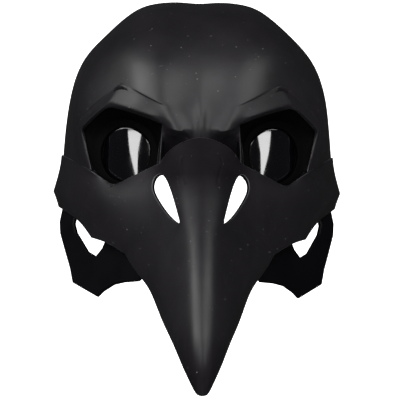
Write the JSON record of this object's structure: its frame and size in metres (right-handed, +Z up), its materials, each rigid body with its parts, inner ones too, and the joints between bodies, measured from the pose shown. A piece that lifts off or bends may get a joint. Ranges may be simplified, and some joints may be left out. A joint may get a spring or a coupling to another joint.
{
  "type": "plague doctor mask",
  "caption": "Raven-skull plague doctor mask with a hollow curved beak, dark round lenses in deep sockets, pierced jaw brackets and an elastic head strap.",
  "frame": {"origin": "middle of the line through the two strap pivots, at eye level inside the wearer's head", "axes": "+Z up, the beak points to -Y, +X is the wearer's left"},
  "size_m": [0.201, 0.3011, 0.2555],
  "materials": {
    "skull_shell": "satin moulded, fine scratches and dust",
    "jaw_bracket": "satin moulded",
    "eye_cup": "satin moulded",
    "smoked_lens": "polished smoked acrylic",
    "retainer": "satin moulded",
    "screw_steel": "blackened",
    "pivot_steel": "nickel plated",
    "strap_fitting": "satin moulded",
    "webbing": "woven elastic",
    "foam": "open-cell foam"
  },
  "bodies": {
    "shell": {"cranium_shell": "skull_shell", "beak_shell": "skull_shell", "jaw_bracket_left": "jaw_bracket", "jaw_bracket_right": "jaw_bracket", "bracket_screw_rear_left": "screw_steel", "bracket_screw_rear_right": "screw_steel", "bracket_screw_front_left": "screw_steel", "bracket_screw_front_right": "screw_steel", "nose_screw_left": "screw_steel", "nose_screw_right": "screw_steel", "eye_cup_left": "eye_cup", "eye_cup_right": "eye_cup", "lens_left": "smoked_lens", "lens_right": "smoked_lens", "lens_retainer_left": "retainer", "lens_retainer_right": "retainer", "retainer_screw_top_left": "screw_steel", "retainer_screw_top_right": "screw_steel", "retainer_screw_inner_left": "screw_steel", "retainer_screw_inner_right": "screw_steel", "retainer_screw_outer_left": "screw_steel", "retainer_screw_outer_right": "screw_steel", "temple_plate_left": "strap_fitting", "temple_plate_right": "strap_fitting", "temple_screw_up_left": "screw_steel", "temple_screw_up_right": "screw_steel", "temple_screw_down_left": "screw_steel", "temple_screw_down_right": "screw_steel", "pivot_bolt_left": "pivot_steel", "pivot_bolt_right": "pivot_steel", "pivot_nut_left": "pivot_steel", "pivot_nut_right": "pivot_steel", "forehead_pad": "foam", "temple_pad_left": "foam", "temple_pad_right": "foam"},
    "strap": {"head_strap": "webbing", "strap_tab_left": "strap_fitting", "strap_tab_right": "strap_fitting"},
    "keeper left": {"strap_keeper_left": "strap_fitting"},
    "keeper right": {"strap_keeper_right": "strap_fitting"}
  },
  "joints": [
    {"name": "strap_swing", "type": "hinge", "parent": "shell", "child": "strap", "pos_m": [0, 0, 0], "axis": [1, 0, 0], "range_deg": [-45, 45]},
    {"name": "keeper_left_slide", "type": "slide", "parent": "strap", "child": "keeper left", "axis": [0, 1, 0], "range_m": [-0.005, 0.008]},
    {"name": "keeper_right_slide", "type": "slide", "parent": "strap", "child": "keeper right", "axis": [0, 1, 0], "range_m": [-0.005, 0.008]}
  ]
}
